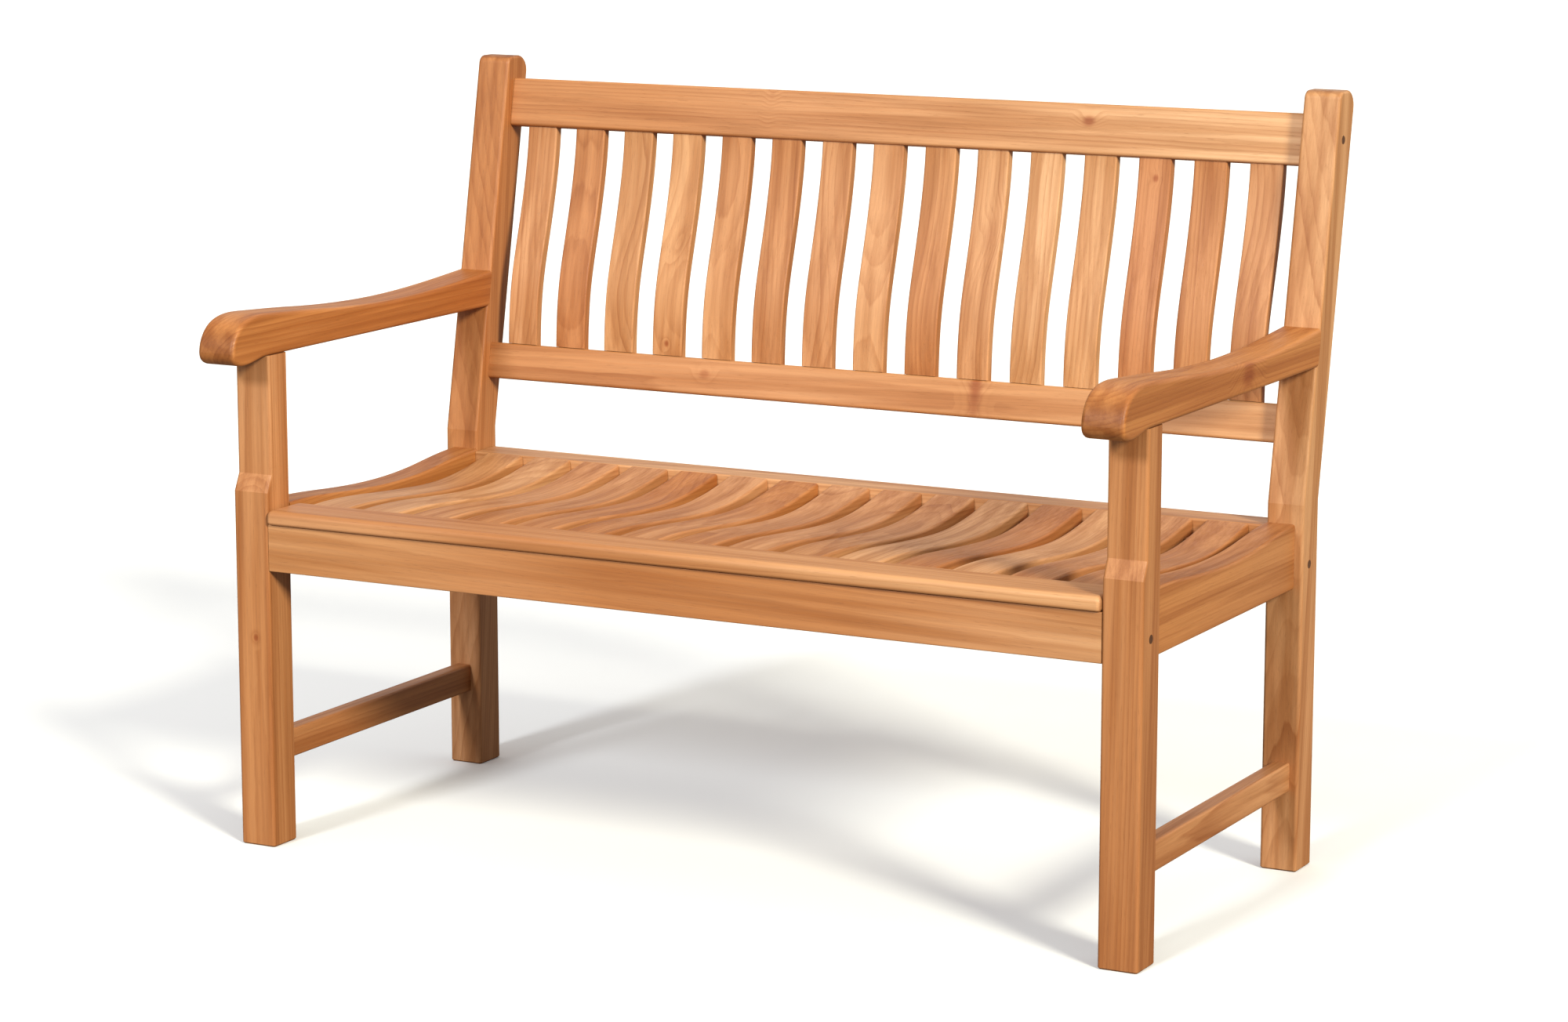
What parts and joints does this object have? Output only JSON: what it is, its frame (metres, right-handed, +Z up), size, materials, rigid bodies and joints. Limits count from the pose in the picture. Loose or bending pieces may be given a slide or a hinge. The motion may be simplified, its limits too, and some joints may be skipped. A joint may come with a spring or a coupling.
{
  "type": "garden bench",
  "caption": "Two-seat slatted teak garden bench with rolled-nose armrests, a contoured slat seat and a leaning curved-slat back.",
  "frame": {"origin": "on the ground, under the middle of the bench's overall width and depth", "axes": "+X towards the armrest on the right of someone facing the bench, the seat faces -Y, +Z up"},
  "size_m": [1.204, 0.6823, 0.932],
  "materials": {
    "teak_frame": "planed and sanded teak, unsealed, satin",
    "teak_seat_slats": "planed and sanded teak, unsealed, satin",
    "teak_back_slats": "planed and sanded teak, unsealed, satin",
    "teak_plugs": "end-grain teak plugs, sanded nearly flush",
    "teak_dowels": "plain teak dowel"
  },
  "bodies": {
    "root": {"arm_dowels": "teak_dowels", "armrest_left": "teak_frame", "armrest_right": "teak_frame", "back_low_rail": "teak_frame", "back_slat_01": "teak_back_slats", "back_slat_02": "teak_back_slats", "back_slat_03": "teak_back_slats", "back_slat_04": "teak_back_slats", "back_slat_05": "teak_back_slats", "back_slat_06": "teak_back_slats", "back_slat_07": "teak_back_slats", "back_slat_08": "teak_back_slats", "back_slat_09": "teak_back_slats", "back_slat_10": "teak_back_slats", "back_slat_11": "teak_back_slats", "back_slat_12": "teak_back_slats", "back_slat_13": "teak_back_slats", "back_slat_14": "teak_back_slats", "back_slat_15": "teak_back_slats", "back_top_rail": "teak_frame", "frame_plugs": "teak_plugs", "front_apron": "teak_frame", "front_leg_left": "teak_frame", "front_leg_right": "teak_frame", "rear_apron": "teak_frame", "rear_leg_left": "teak_frame", "rear_leg_right": "teak_frame", "seat_bearer_centre": "teak_frame", "seat_bearer_front": "teak_frame", "seat_bearer_rear": "teak_frame", "seat_front_strip": "teak_frame", "seat_rear_strip": "teak_frame", "seat_slat_01": "teak_seat_slats", "seat_slat_02": "teak_seat_slats", "seat_slat_03": "teak_seat_slats", "seat_slat_04": "teak_seat_slats", "seat_slat_05": "teak_seat_slats", "seat_slat_06": "teak_seat_slats", "seat_slat_07": "teak_seat_slats", "seat_slat_08": "teak_seat_slats", "seat_slat_09": "teak_seat_slats", "seat_slat_10": "teak_seat_slats", "seat_slat_11": "teak_seat_slats", "seat_slat_12": "teak_seat_slats", "seat_slat_13": "teak_seat_slats", "seat_slat_14": "teak_seat_slats", "seat_slat_15": "teak_seat_slats", "side_rail_left": "teak_frame", "side_rail_right": "teak_frame", "stretcher_left": "teak_frame", "stretcher_right": "teak_frame"}
  },
  "joints": []
}
